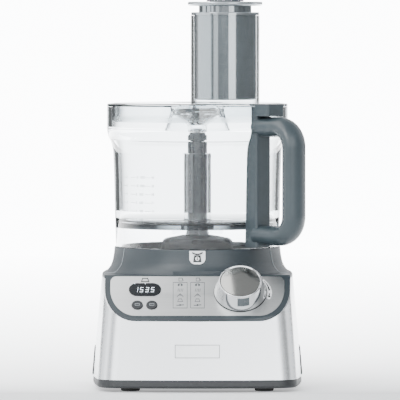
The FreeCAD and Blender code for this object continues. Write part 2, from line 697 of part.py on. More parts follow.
def bowl():
    """Clear bowl with chimney; its foot spigot drops into the collar."""
    inner = [
        (91.5, BOWL_RIM_Z),
        (91.5, 274.0),
        (88.1, 262.4, (90.6, 267.8)),
        (84.9, 247.0, (85.9, 255.3)),
        (83.3, 185.0, (83.9, 217.0)),
        (82.9, 178.0),
        (76.0, BOWL_FLOOR_Z, (80.9, 173.2)),
        (CHIMNEY_R + 4.0, BOWL_FLOOR_Z + 0.6),
        (CHIMNEY_R, 176.0, (CHIMNEY_R + 1.0, 172.8)),
        (CHIMNEY_R, CHIMNEY_TOP_Z - 1.2),
        (CHIMNEY_R - 1.2, CHIMNEY_TOP_Z),
        (12.2, CHIMNEY_TOP_Z),
        (12.2, 166.0),
        (15.5, 166.0),
        (15.5, 166.6),
        (82.6, 166.6),
        (81.2, 137.0),
        (84.9, 137.0),
        (84.9, BOWL_LOW_Z),
    ]
    shape = turned(bowl_outer() + inner).fuse(tube(27.2, 24.8, 159.4, 167.0)).removeSplitter()
    keep("bowl", biggest(shape))


def bowl_handle():
    """Post up the bowl wall with a D grip, in the handle's direction."""
    post = box(-10.2, 10.2, BOWL_Y - POST_OUT_R, BOWL_Y - 84.0, 148.5, POST_TOP_Z)
    post = soften(post, 2.2, lambda e: e.BoundBox.ZLength > 100 and e.BoundBox.YMax < BOWL_Y - 100)
    outline = bowl_outer(0.05)[:-1] + [(96.8, BOWL_RIM_Z - 2.0), (96.8, 300.0), (0, 300.0), (0, BOWL_LOW_Z)]
    bend = 21.0
    y_in = BOWL_Y - 99.0
    y_grip = BOWL_Y - GRIP_R
    k = bend * (1 - math.sqrt(0.5))
    high_in, high_bend = V(0, y_in, GRIP_HIGH_Z), V(0, y_grip + bend, GRIP_HIGH_Z)
    low_in, low_bend = V(0, y_in, GRIP_LOW_Z), V(0, y_grip + bend, GRIP_LOW_Z)
    grip_top, grip_foot = V(0, y_grip, GRIP_HIGH_Z - bend), V(0, y_grip, GRIP_LOW_Z + bend)
    path = Part.Wire(
        [
            Part.LineSegment(high_in, high_bend).toShape(),
            Part.Arc(high_bend, V(0, y_grip + k, GRIP_HIGH_Z - k), grip_top).toShape(),
            Part.LineSegment(grip_top, grip_foot).toShape(),
            Part.Arc(grip_foot, V(0, y_grip + k, GRIP_LOW_Z + k), low_bend).toShape(),
            Part.LineSegment(low_bend, low_in).toShape(),
        ]
    )
    section = Part.Wire([Part.Ellipse(V(0, 0, 0), GRIP_WIDE / 2, GRIP_THICK / 2).toShape()])
    section.rotate(V(0, 0, 0), V(1, 0, 0), 90)
    section.translate(V(0, y_in, GRIP_HIGH_Z))
    grip = path.makePipeShell([section], True, False)
    handle = fuse_all([post, grip]).cut(turned(outline))
    handle = handle.cut(disc(2.1, 140, 300, 0, BOWL_Y - ROD_R))
    keep("bowl_handle", radial(biggest(handle)))
    rod = disc(1.8, 149.2, POST_TOP_Z + 0.3, 0, BOWL_Y - ROD_R)
    keep("interlock_rod", radial(rod))


def oval(hx, z0, z1):
    """Upright block of the feed tube's oval section, hx wide to each side and a little less deep."""
    inset = CHUTE_HX - hx
    return rounded_block(hx, CHUTE_HY - inset, CHUTE_CORNER_R - inset, z0, z1, CHUTE_X, CHUTE_Y)


def lid():
    """Clear lid: flange, skirt, centre boss and oval feed tube."""
    shell = turned(
        [
            (96.4, BOWL_RIM_Z + GAP),
            (96.4, LID_TOP_Z - 0.8),
            (95.6, LID_TOP_Z),
            (88.0, LID_TOP_Z + 0.9),
            (27.5, LID_TOP_Z + 1.3),
            (25.0, LID_TOP_Z + 0.3),
            (22.6, 288.5),
            (8.6, 276.6, (12.5, 279.8)),
            (7.6, 269.4),
            (0, 269.4),
            (0, 266.4),
            (10.0, 266.4),
            (10.4, 275.6),
            (25.8, 286.8, (15.5, 279.2)),
            (27.8, LID_TOP_Z - 2.2),
            (88.6, LID_TOP_Z - 2.6),
            (88.6, 285.1),
            (91.0, 285.1),
            (91.0, BOWL_RIM_Z + GAP),
        ]
    )
    chute = oval(CHUTE_HX, 284.0, CHUTE_TOP_Z)
    bore = oval(CHUTE_HX - CHUTE_WALL, 270.0, CHUTE_TOP_Z + 1)
    chute = chute.common(disc(88.7, 200, 500))
    guard = turned(
        [(27.4, 296.5), (26.8, 290.0), (33.2, 268.6), (34.8, 268.6), (28.6, 290.4), (29.2, 296.5)]
    )
    whole = shell.fuse(guard).fuse(chute).cut(bore).cut(disc(2.95, 200, 300))
    keep("lid", biggest(whole.removeSplitter()))
    pin = disc(3.0, 250.0, 266.4).fuse(disc(2.95, 266.4, 269.4)).fuse(disc(5.0, 269.4, 270.6))
    keep("lid_pin", pin.removeSplitter())
    seal = tube(91.1, 88.4, 280.6, 284.8)
    lip = tube(89.6, 88.4, 279.6, 281.0)
    keep("lid_seal", seal.fuse(lip).removeSplitter())

    block = box(-12.5, 12.5, BOWL_Y - 124.0, BOWL_Y - 104.0, 286.9, POST_TOP_Z + 1.0)
    bridge = box(-12.5, 12.5, BOWL_Y - 124.0, BOWL_Y - 94.0, POST_TOP_Z + 0.6, LID_TOP_Z + 0.6)
    ramp = Part.Face(
        Part.makePolygon(
            [
                V(-2.5, -100, POST_TOP_Z + 0.5),
                V(-13.0, -100, POST_TOP_Z + 1.7),
                V(-13.0, -100, POST_TOP_Z - 2),
                V(-2.5, -100, POST_TOP_Z - 2),
                V(-2.5, -100, POST_TOP_Z + 0.5),
            ]
        )
    ).extrude(V(0, 40, 0))
    cam = block.cut(disc(105.4, 200, 400)).fuse(bridge).removeSplitter()
    cam = soften(cam, 4.0, lambda e: e.BoundBox.YMax < BOWL_Y - 120 and e.BoundBox.ZLength > 5)
    cam = cam.cut(ramp.common(disc(105.4, 200, 400))).cut(disc(96.42, 200, 400))
    keep("lid_cam", radial(biggest(cam)))


def pushers():
    """Hollow oval pusher with ribbed neck and grip plate, and the small round pusher inside it."""
    hx = CHUTE_HX - 3.8
    outer = oval(hx, PUSHER_LOW_Z, CHUTE_TOP_Z + GAP)
    outer = soften(outer, 1.5, level_edge(PUSHER_LOW_Z))
    rim = oval(CHUTE_HX - 0.4, CHUTE_TOP_Z + GAP, PUSHER_RIM_Z)
    rim = soften(rim, 1.0, level_edge(PUSHER_RIM_Z))
    neck = oval(NECK_HX, CHUTE_TOP_Z + 1, PLATE_LOW_Z)
    rib = box(-0.9, 0.9, -40, 40, PUSHER_RIM_Z, PLATE_LOW_Z)
    grooves = [rib.translated(V(CHUTE_X + dx, CHUTE_Y, 0)) for dx in range(-20, 21, 5)]
    core = oval(NECK_HX - 1.0, CHUTE_TOP_Z, PLATE_LOW_Z + 1)
    for groove in grooves:
        neck = neck.cut(groove.cut(core))
    hollow = oval(hx - 2.2, PUSHER_LOW_Z + 2.2, CHUTE_TOP_Z - 3)
    sleeve = disc(19.0, PUSHER_LOW_Z + 1, PLATE_LOW_Z, CHUTE_X, CHUTE_Y)
    bore = disc(17.0, PUSHER_LOW_Z - 1, 500, CHUTE_X, CHUTE_Y)
    body = fuse_all([outer.cut(hollow), rim, neck, sleeve]).cut(bore)
    keep("pusher", biggest(body))

    plate = oval(PLATE_HX, PLATE_LOW_Z, PLATE_TOP_Z)
    plate = soften(plate, 1.4, level_edge(PLATE_TOP_Z))
    plate = soften(plate, 2.6, level_edge(PLATE_LOW_Z)).cut(bore)
    keep("pusher_plate", biggest(plate))

    small = disc(16.6, PUSHER_LOW_Z + 0.2, PLATE_TOP_Z + 0.4, CHUTE_X, CHUTE_Y)
    small = small.cut(disc(14.6, PUSHER_LOW_Z + 2.5, PLATE_TOP_Z - 1.5, CHUTE_X, CHUTE_Y))
    cap = disc(20.0, PLATE_TOP_Z + 0.3, PLATE_TOP_Z + 2.3, CHUTE_X, CHUTE_Y)
    cap = soften(cap, 1.0, level_edge(PLATE_TOP_Z + 2.3))
    keep("small_pusher", fuse_all([small, cap]))


housings()
small_base_parts()
deck_parts()
drive_train()
electrics()
dial()
buttons()
bowl()
bowl_handle()
lid()
pushers()


os.makedirs("parts", exist_ok=True)
for name, shape in shapes.items():
    print(name, len(shape.Solids), round(shape.Volume), shape.isValid())
    shape.exportStep(f"parts/{name}.step")
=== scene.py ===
"""Looks for the food processor: materials for all CAD nodes, printed marks, display, studio and camera."""

import bpy
import bmesh
import json
import math
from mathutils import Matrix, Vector


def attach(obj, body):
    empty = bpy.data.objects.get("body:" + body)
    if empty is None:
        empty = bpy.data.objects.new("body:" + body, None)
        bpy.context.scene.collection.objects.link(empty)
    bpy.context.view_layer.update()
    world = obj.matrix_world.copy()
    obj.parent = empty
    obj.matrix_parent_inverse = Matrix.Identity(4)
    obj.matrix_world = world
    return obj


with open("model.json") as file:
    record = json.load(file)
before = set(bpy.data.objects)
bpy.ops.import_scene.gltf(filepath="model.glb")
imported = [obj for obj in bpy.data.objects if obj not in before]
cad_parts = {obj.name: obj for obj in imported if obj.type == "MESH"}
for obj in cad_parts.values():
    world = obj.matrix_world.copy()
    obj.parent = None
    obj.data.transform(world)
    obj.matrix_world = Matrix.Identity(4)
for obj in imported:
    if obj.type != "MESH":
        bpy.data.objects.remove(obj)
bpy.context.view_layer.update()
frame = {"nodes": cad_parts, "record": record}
nodes = frame["nodes"]

# ---------------------------------------------------------------- shared dimensions (metres)
MM = 0.001
BOWL_Y = 25.0 * MM
PANEL_RISE = 189.2 * MM
DIAL = (45.0, 102.8)
BUTTON_Z = 90.0
SQ = math.sqrt(0.5)


# ---------------------------------------------------------------- material helpers
class Shader:
    """A node material under construction, with one Principled BSDF at its end."""

    def __init__(self, name):
        self.material = bpy.data.materials.new(name)
        self.material.use_nodes = True
        self.tree = self.material.node_tree
        self.bsdf = self.tree.nodes["Principled BSDF"]
        coords = self.tree.nodes.new("ShaderNodeTexCoord")
        self.coords = coords.outputs["Object"]

    def set(self, **values):
        """Sets sockets of the Principled BSDF by name, with _ for a space."""
        for key, value in values.items():
            self.bsdf.inputs[key.replace("_", " ")].default_value = value
        return self

    def link(self, a, b):
        self.tree.links.new(a, b)

    def noise(self, scale, detail=4.0, stretch=(1, 1, 1), roughness=0.5):
        """Noise factor in the object's own metres, stretched by axis."""
        mapping = self.tree.nodes.new("ShaderNodeMapping")
        mapping.inputs["Scale"].default_value = stretch
        texture = self.tree.nodes.new("ShaderNodeTexNoise")
        texture.inputs["Scale"].default_value = scale
        texture.inputs["Detail"].default_value = detail
        texture.inputs["Roughness"].default_value = roughness
        self.link(self.coords, mapping.inputs["Vector"])
        self.link(mapping.outputs["Vector"], texture.inputs["Vector"])
        return texture.outputs["Fac"]

    def ramp(self, fac, low, high, a=0.3, b=0.7):
        """Colour ramp from low to high between the factors a and b."""
        node = self.tree.nodes.new("ShaderNodeValToRGB")
        node.color_ramp.elements[0].position = a
        node.color_ramp.elements[1].position = b
        node.color_ramp.elements[0].color = (*low, 1)
        node.color_ramp.elements[1].color = (*high, 1)
        self.link(fac, node.inputs["Fac"])
        return node.outputs["Color"]

    def spread(self, fac, low, high):
        """Maps a factor to the range low..high."""
        node = self.tree.nodes.new("ShaderNodeMapRange")
        node.inputs["From Min"].default_value = 0.3
        node.inputs["From Max"].default_value = 0.7
        node.inputs["To Min"].default_value = low
        node.inputs["To Max"].default_value = high
        self.link(fac, node.inputs["Value"])
        return node.outputs["Result"]

    def bump(self, fac, depth, strength=1.0):
        """Bump of depth metres."""
        node = self.tree.nodes.new("ShaderNodeBump")
        node.inputs["Strength"].default_value = strength
        node.inputs["Distance"].default_value = depth
        self.link(fac, node.inputs["Height"])
        self.link(node.outputs["Normal"], self.bsdf.inputs["Normal"])

    def wire(self, color=None, roughness=None):
        if color is not None:
            self.link(color, self.bsdf.inputs["Base Color"])
        if roughness is not None:
            self.link(roughness, self.bsdf.inputs["Roughness"])
        return self.material


def tint(rgb, k):
    return tuple(min(1.0, c * k) for c in rgb)


def moulded(name, rgb, rough=0.42, grain=1400.0, depth=0.00003, coat=0.0):
    """Injection-moulded plastic with a fine eroded texture and faint flow clouding."""
    s = Shader(name).set(Metallic=0.0, IOR=1.49, Coat_Weight=coat, Coat_Roughness=0.12)
    fine = s.noise(grain, 3.0)
    cloud = s.noise(45.0, 2.0)
    s.bump(fine, depth)
    color = s.ramp(cloud, tint(rgb, 0.93), tint(rgb, 1.06))
    return s.wire(color, s.spread(fine, rough - 0.05, rough + 0.07))


def brushed(name, rgb, rough, stretch, aniso, depth=0.000005, spin="Z"):
    """Metal brushed along the axis that the stretch leaves long."""
    s = Shader(name).set(Metallic=1.0, Anisotropic=aniso)
    tangent = s.tree.nodes.new("ShaderNodeTangent")
    tangent.direction_type = "RADIAL"
    tangent.axis = spin
    s.link(tangent.outputs["Tangent"], s.bsdf.inputs["Tangent"])
    lines = s.noise(420.0, 5.0, stretch, 0.65)
    s.bump(lines, depth)
    color = s.ramp(lines, tint(rgb, 0.93), tint(rgb, 1.04))
    return s.wire(color, s.spread(lines, rough - 0.03, rough + 0.03))


def turned_metal(name, rgb, rough):
    """Machined or plated metal with fine tool marks."""
    s = Shader(name).set(Metallic=1.0)
    marks = s.noise(900.0, 4.0, (1, 1, 3))
    s.bump(marks, 0.000004)
    color = s.ramp(marks, tint(rgb, 0.94), tint(rgb, 1.03))
    return s.wire(color, s.spread(marks, rough * 0.8, rough * 1.25))


def mirror_plastic(name, rgb):
    """Highly polished grey plastic with a pearl filler, which mirrors its surroundings."""
    s = Shader(name).set(Metallic=0.8, IOR=1.6, Coat_Weight=0.4, Coat_Roughness=0.05)
    drift = s.noise(60.0, 2.0, (1, 1, 0.2))
    s.bump(drift, 0.000006)
    return s.wire(s.ramp(drift, tint(rgb, 0.96), tint(rgb, 1.04)), s.spread(drift, 0.09, 0.13))


def clear(name, rgb, rough=0.012, density=18.0):
    """Clear polished plastic with faint moulding waves, greyer where light goes a long way in it."""
    s = Shader(name).set(Metallic=0.0, IOR=1.46, Transmission_Weight=1.0)
    waves = s.noise(38.0, 2.0)
    s.bump(waves, 0.00005)
    inside = s.tree.nodes.new("ShaderNodeVolumeAbsorption")
    inside.inputs["Color"].default_value = (0.42, 0.47, 0.50, 1)
    inside.inputs["Density"].default_value = density
    s.link(inside.outputs["Volume"], s.tree.nodes["Material Output"].inputs["Volume"])
    return s.wire(s.ramp(waves, tint(rgb, 0.985), rgb), s.spread(waves, rough * 0.6, rough * 1.5))


def printed(name, rgb, glow=0.0):
    """Ink with a slightly uneven film; glow makes it a lit display segment."""
    s = Shader(name).set(Metallic=0.0, Emission_Strength=glow)
    film = s.noise(900.0, 2.0)
    color = s.ramp(film, tint(rgb, 0.92), rgb)
    if glow > 0:
        s.link(color, s.bsdf.inputs["Emission Color"])
    s.bump(film, 0.000003)
    return s.wire(color, s.spread(film, 0.35, 0.5))


GREY = (0.021, 0.030, 0.036)
DARK = (0.012, 0.014, 0.016)
materials = {
    "steel": brushed("steel", (0.84, 0.86, 0.88), 0.24, (0.02, 0.02, 4.0), 0.5),
    "grey_plastic": moulded("grey_plastic", GREY, 0.40),
    "dark_plastic": moulded("dark_plastic", DARK, 0.45),
    "gloss_grey": moulded("gloss_grey", (0.050, 0.064, 0.072), 0.24, 300.0, 0.000006, 0.5),
    "handle_grey": moulded("handle_grey", (0.030, 0.043, 0.050), 0.36, coat=0.1),
    "clear_plastic": clear("clear_plastic", (0.965, 0.985, 0.995)),
    "rubber": moulded("rubber", (0.020, 0.021, 0.022), 0.7, 900.0, 0.00006),
    "fascia": brushed("fascia", (0.60, 0.61, 0.61), 0.32, (0.03, 2.0, 2.0), 0.35),
    "display": moulded("display", (0.006, 0.008, 0.010), 0.25, 200.0, 0.000002),
    "badge_metal": brushed("badge_metal", (0.80, 0.82, 0.83), 0.22, (0.03, 2.0, 2.0), 0.3),
    "badge_white": moulded("badge_white", (0.80, 0.83, 0.85), 0.25, 600.0, 0.000006, 0.5),
    "chrome": turned_metal("chrome", (0.66, 0.67, 0.68), 0.07),
    "satin_metal": turned_metal("satin_metal", (0.33, 0.33, 0.315), 0.15),
    "machined_steel": turned_metal("machined_steel", (0.55, 0.56, 0.57), 0.25),
    "cast_alloy": moulded("cast_alloy", (0.40, 0.41, 0.42), 0.5, 500.0, 0.00008),
    "core_iron": brushed("core_iron", (0.16, 0.17, 0.19), 0.45, (0.05, 0.05, 6.0), 0.0),
    "winding": brushed("winding", (0.70, 0.30, 0.12), 0.35, (0.1, 0.1, 5.0), 0.0),
    "circuit_board": moulded("circuit_board", (0.02, 0.16, 0.07), 0.35, 700.0, 0.00002, 0.4),
    "component": moulded("component", (0.03, 0.03, 0.035), 0.35),
    "silicone": clear("silicone", (0.86, 0.89, 0.90), 0.18),
}
display_shader = materials["display"].node_tree.nodes["Principled BSDF"]
display_shader.inputs["Specular IOR Level"].default_value = 0.25
ink_white = printed("ink_white", (0.85, 0.86, 0.86))
ink_fine = printed("ink_fine", (0.30, 0.33, 0.35))
ink_grey = printed("ink_grey", (0.055, 0.062, 0.07))
ink_black = printed("ink_black", (0.012, 0.013, 0.015))
ink_mark = printed("ink_mark", (0.05, 0.06, 0.07))
engraved = printed("engraved", (0.10, 0.105, 0.11))
# Light grey for the housing joint line: a painted highlight along the joint's edge over the dark housing.
seam_highlight_grey = moulded("seam_highlight_grey", (0.30, 0.33, 0.35), 0.35)
pusher_gloss = mirror_plastic("pusher_gloss", (0.34, 0.375, 0.395))
segment_light = printed("segment_light", (0.85, 0.93, 1.0), 1.4)

own_look = {"pusher": pusher_gloss, "pusher_plate": pusher_gloss}
for sub in frame["record"]["subparts"]:
    mesh = nodes[sub["node"]].data
    mesh.materials.clear()
    mesh.materials.append(own_look.get(sub["node"], materials[sub["material_slot"]]))


# ---------------------------------------------------------------- flat printed shapes
def piece(name, faces_mesh, material, body):
    """Adds a finished bmesh as a named piece riding on a CAD body."""
    mesh = bpy.data.meshes.new(name)
    faces_mesh.to_mesh(mesh)
    faces_mesh.free()
    mesh.materials.append(material)
    obj = bpy.data.objects.new(name, mesh)
    bpy.context.scene.collection.objects.link(obj)
    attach(obj, body)
    return obj


class Sheet:
    """Collects flat plates in (u, v) millimetres and lays them on a surface with place(u, v, w)."""

    def __init__(self, place, low, high):
        self.place = place
        self.low = low
        self.high = high
        self.mesh = bmesh.new()

    def plate(self, points):
        """One plate with the outline points, thickened between the sheet's low and high levels."""
        bottom = [self.mesh.verts.new(self.place(u, v, self.low)) for u, v in points]
        top = [self.mesh.verts.new(self.place(u, v, self.high)) for u, v in points]
        self.mesh.faces.new(top)
        self.mesh.faces.new(list(reversed(bottom)))
        for i in range(len(points)):
            j = (i + 1) % len(points)
            self.mesh.faces.new([bottom[i], bottom[j], top[j], top[i]])

    def outline(self, points, width):
        """Closed line of the given width through the points."""
        for i, (u0, v0) in enumerate(points):
            self.stroke((u0, v0), points[(i + 1) % len(points)], width)

    def stroke(self, a, b, width):
        du, dv = b[0] - a[0], b[1] - a[1]
        length = math.hypot(du, dv)
        nu, nv = -dv / length * width / 2, du / length * width / 2
        eu, ev = du / length * width / 2, dv / length * width / 2
        self.plate(
            [
                (a[0] - nu - eu, a[1] - nv - ev),
                (b[0] - nu + eu, b[1] - nv + ev),
                (b[0] + nu + eu, b[1] + nv + ev),
                (a[0] + nu - eu, a[1] + nv - ev),
            ]
        )

    def disc(self, u, v, r, count=20):
        angles = steps(0, 2 * math.pi, count)[:-1]
        self.plate([(u + r * math.cos(a), v + r * math.sin(a)) for a in angles])

    def done(self, name, material, body):
        bmesh.ops.recalc_face_normals(self.mesh, faces=self.mesh.faces)
        return piece(name, self.mesh, material, body)


def steps(a, b, n):
    return [a + (b - a) * i / n for i in range(n + 1)]


def on_panel(u, v, w):
    """Point on the control panel: u across, v the height in millimetres, w out along its normal."""
    z = v * MM
    return Vector((u * MM, z - PANEL_RISE - w * MM * SQ, z + w * MM * SQ))


def on_bowl(radius, mid_deg):
    """Place function for an upright cylinder about the bowl axis; u runs along the arc, v is the height."""

    def place(u, v, w):
        a = math.radians(mid_deg) + u * MM / radius
        r = radius + w * MM
        return Vector((r * math.sin(a), BOWL_Y - r * math.cos(a), v * MM))

    return place


# Segments of a digit, as bars in a cell one unit wide and two high: a b c d e f g.
SEGMENTS = {
    "a": ((0, 2), (1, 2)),
    "b": ((1, 2), (1, 1)),
    "c": ((1, 1), (1, 0)),
    "d": ((0, 0), (1, 0)),
    "e": ((0, 0), (0, 1)),
    "f": ((0, 1), (0, 2)),
    "g": ((0, 1), (1, 1)),
}
DIGITS = {
    "0": "abcdef",
    "1": "bc",
    "2": "abged",
    "3": "abgcd",
    "4": "fgbc",
    "5": "afgcd",
    "6": "afgedc",
    "7": "abc",
    "8": "abcdefg",
    "9": "abcdfg",
}


def write_digits(sheet, text, u, v, size, width, gap=1.7, lean=0.0, squeeze=1.0):
    """Writes digits with strokes; size is half the height, squeeze shrinks v for a sloping panel."""
    for ch in text:
        for key in DIGITS[ch]:
            (x0, y0), (x1, y1) = SEGMENTS[key]
            a = (u + (x0 + lean * y0) * size * 0.9, v + y0 * size * squeeze)
            b = (u + (x1 + lean * y1) * size * 0.9, v + y1 * size * squeeze)
            sheet.stroke(a, b, width)
        u += size * gap
    return u


# ---------------------------------------------------------------- display and legends
def display_digits():
    sheet = Sheet(on_panel, 0.62, 0.66)
    tall = 3.05
    low = 105.0 - tall * SQ
    write_digits(sheet, "1", -65.6, low, tall, 0.42, 1.9, 0.16, SQ)
    write_digits(sheet, "535", -60.2, low, tall, 0.42, 1.9, 0.16, SQ)
    sheet.disc(-65.9, 111.0, 0.35)
    sheet.disc(-54.5, 111.0, 0.35)
    sheet.done("display_digits", segment_light, "base")


def dish_icon(sheet, v, low, high, foot, top):
    """Kitchen-scale pictogram: a solid body that narrows upwards and a shallow dish over it."""
    sheet.plate([(-foot, low), (foot, low), (top, high), (-top, high)])
    tips = [(u, v + 1.6 * (u / 5.0) ** 2) for u in steps(-5.0, 5.0, 8)]
    for a, b in zip(tips, tips[1:]):
        sheet.stroke(a, b, 1.3)


def legends():
    """Outlined tables of small tool pictures and the tray picture over the display."""
    sheet = Sheet(on_panel, 0.0, 0.05)
    low, high = 87.2, 112.6
    rows = 5
    pitch = (high - low) / rows
    for left, right in ((-25.3, -10.6), (-7.0, 7.4)):
        sheet.outline([(left, low), (right, low), (right, high), (left, high)], 0.5)
        mid = (left + right) / 2
        for row in range(rows):
            tool_picture(sheet, mid, low + (row + 0.5) * pitch, row)
        foot, brim = high + 1.4, high + 4.4
        cup_left, cup_right = mid - 1.4, mid + 2.2
        sheet.outline([(cup_left, foot), (cup_right, foot), (cup_right, brim), (cup_left, brim)], 0.5)
        sheet.stroke((cup_right, brim - 0.6), (cup_right + 1.2, foot + 0.6), 0.5)
    sheet.done("panel_legends", ink_grey, "base")

    tray = Sheet(on_panel, 0.0, 0.05)
    tray.outline([(-58.6, 113.5), (-50.9, 113.5), (-52.2, 116.7), (-57.3, 116.7)], 0.95)
    tray.done("tray_icon", ink_black, "base")


def tool_picture(sheet, u, v, kind):
    """One small generic cutting-tool picture of five kinds."""
    if kind == 0:
        sheet.stroke((u - 3.6, v), (u + 3.6, v + 0.6), 0.7)
        sheet.disc(u, v + 0.4, 0.9)
    elif kind == 1:
        low, high = v - 1.2, v + 1.4
        sheet.outline([(u - 2.6, low), (u + 2.6, low), (u + 1.4, high), (u - 1.4, high)], 0.5)
    elif kind == 2:
        sheet.stroke((u - 3.0, v - 1.2), (u, v + 1.4), 0.6)
        sheet.stroke((u, v + 1.4), (u + 3.0, v - 1.2), 0.6)
        sheet.stroke((u - 1.4, v), (u + 1.4, v), 0.5)
    elif kind == 3:
        for du in (-2.4, -0.8, 0.8, 2.4):
            sheet.stroke((u + du, v - 1.3), (u + du + 0.6, v + 1.3), 0.5)
    else:
        sheet.disc(u - 1.6, v, 1.1)
        sheet.disc(u + 1.6, v, 1.1)
        sheet.stroke((u - 1.6, v + 1.2), (u + 1.6, v + 1.2), 0.5)


def around_dial(radius, degrees):
    """Point on the panel at a radius and an angle about the dial, anticlockwise from the right."""
    a = math.radians(degrees)
    return (DIAL[0] + radius * math.cos(a), DIAL[1] + radius * math.sin(a) * SQ)


def sector(sheet, inner, outer, start, end, count):
    """Band about the dial between two angles; inner and outer give its radii at a share of the way."""
    for i in range(count):
        t0, t1 = i / count, (i + 1) / count
        a0, a1 = start + (end - start) * t0, start + (end - start) * t1
        sheet.plate(
            [
                around_dial(inner(t0), a0),
                around_dial(outer(t0), a0),
                around_dial(outer(t1), a1),
                around_dial(inner(t1), a1),
            ]
        )


def speed_wedge():
    """Black ring under the dial as painted shade in the gap below the knob's rim, and the tapering speed arc
    beside it in a white surround.
    """
    # Black ring under the knob's rim: painted shade where the gap between the knob and the panel lies in
    # shadow.
    ring = Sheet(on_panel, 0.0, 0.06)
    sector(ring, lambda t: 26.6, lambda t: 27.9, 0.0, 360.0, 48)
    ring.done("dial_shadow_ring", ink_black, "base")

    back = Sheet(on_panel, 0.0, 0.04)
    sector(back, lambda t: 28.5, lambda t: 30.6 + 2.4 * min(1.0, 1.6 * t), 37.0, -13.0, 20)
    back.disc(*around_dial(30.6, -13.0), 2.1)
    back.done("speed_surround", ink_white, "base")

    front = Sheet(on_panel, 0.05, 0.09)
    sector(front, lambda t: 29.6 - 0.1 * t, lambda t: 30.0 + 1.6 * t, 33.0, 5.0, 14)
    front.disc(*around_dial(30.6, -5.0), 0.8)
    front.disc(*around_dial(30.6, -11.0), 1.0)
    front.done("speed_wedge", ink_black, "base")


def button_marks():
    for name, u in (("zero_button", -62.7), ("unit_button", -47.5)):
        sheet = Sheet(on_panel, 1.2, 1.24)
        low, high = BUTTON_Z - 0.9, BUTTON_Z + 0.9
        sheet.outline([(u - 2.3, low), (u + 2.3, low), (u + 2.3, high), (u - 2.3, high)], 0.35)
        sheet.done(name + "_mark", ink_fine, name)


def badge_icon():
    def place(u, v, w):
        z = v * MM
        r = 0.0896 + (145.0 - v) * 0.00008 + w * MM
        x = u * MM
        return Vector((x, BOWL_Y - math.sqrt(r * r - x * x), z))

    sheet = Sheet(place, 0.75, 0.85)
    dish_icon(sheet, 141.6, 133.4, 140.5, 4.4, 3.3)
    sheet.done("scale_badge_icon", ink_black, "base")
    face = Sheet(place, 0.86, 0.9)
    face.disc(0.0, 137.0, 2.2)
    face.done("scale_badge_dial", ink_white, "base")
    needle = Sheet(place, 0.91, 0.95)
    needle.stroke((0.0, 136.6), (0.0, 138.4), 0.8)
    needle.disc(0.0, 136.3, 0.8)
    needle.done("scale_badge_needle", ink_black, "base")


def bowl_marks():
    """Volume marks printed on the bowl's left side, in three columns."""
    sheet = Sheet(on_bowl(0.0888, -46.0), 0.35, 0.42)
    rows = 6
    for row in range(rows):
        v = 177.0 + row * 8.9
        sheet.stroke((-22.0, v), (-18.0, v), 0.35)
        sheet.stroke((-9.0, v), (-2.0, v), 0.35)
        sheet.stroke((12.0, v), (19.0, v), 0.35)
        write_digits(sheet, str(row + 1), -16.6, v - 0.9, 1.1, 0.3)
        write_digits(sheet, f"{(row + 1) * 2}", -0.6, v - 0.9, 1.1, 0.3)
        write_digits(sheet, f"{(row + 1) * 200}", 4.6, v - 0.9, 1.1, 0.3)
        write_digits(sheet, f"{(row + 1) * 7}", 20.6, v - 0.9, 1.1, 0.3)
    sheet.done("bowl_marks", ink_mark, "bowl")


def badge_outline():
    """Engraved line just inside the blank badge plate's edge."""
    low, high, side = 36.2, 49.4, 23.0
    width = 0.6

    def place(u, v, w):
        """Point on the bowed, tapered steel front, from its foot (t = 0) to its top (t = 1)."""
        t = (v - 12.8) / 107.2
        half = (102.0 + (93.5 - 102.0) * t) * MM
        front = (-122.0 + (-110.8 + 122.0) * t) * MM
        sag = 8.0 * MM
        radius = (half * half + sag * sag) / (2 * sag)
        x = u * MM
        y = front + radius - math.sqrt(radius * radius - x * x)
        return Vector((x, y - (0.8 + w) * MM, v * MM))

    sheet = Sheet(place, -0.05, 0.12)
    across = steps(-side, side, 12)
    for v in (low, high):
        for u0, u1 in zip(across, across[1:]):
            sheet.stroke((u0, v), (u1, v), width)
    for u in (-side, side):
        sheet.stroke((u, low), (u, high), width)
    sheet.done("badge_outline", engraved, "base")


def collar_seam_highlights():
    """Joint line between the front and the rear housing, down the collar and over the deck; its light grey
    is a painted highlight along the joint's edge.
    """
    profile = [(88.0, 146.2), (88.7, 144.5), (89.3, 138.5), (90.6, 131.5), (91.6, 128.2)]
    profile += [(93.2, 125.15), (95.2, 122.3), (97.6, 120.15)]
    for name, side in (("seam_highlight_left", -1), ("seam_highlight_right", 1)):
        curve = bpy.data.curves.new(name, "CURVE")
        curve.dimensions = "3D"
        curve.bevel_depth = 0.35 * MM
        curve.bevel_resolution = 2
        spline = curve.splines.new("POLY")
        points = [(side * math.sqrt(r * r - 43.0 * 43.0) * MM, -18.0 * MM, z * MM) for r, z in profile]
        points += [(side * 97.6 * MM, -18.0 * MM, 120.05 * MM)]
        spline.points.add(len(points) - 1)
        for target, point in zip(spline.points, points):
            target.co = (*point, 1.0)
        # The joint line's light grey is a painted highlight, not the housing's own colour.
        curve.materials.append(seam_highlight_grey)
        seam = bpy.data.objects.new(name, curve)
        bpy.context.scene.collection.objects.link(seam)
        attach(seam, "base")


display_digits()
legends()
speed_wedge()
badge_outline()
collar_seam_highlights()
button_marks()
badge_icon()
bowl_marks()


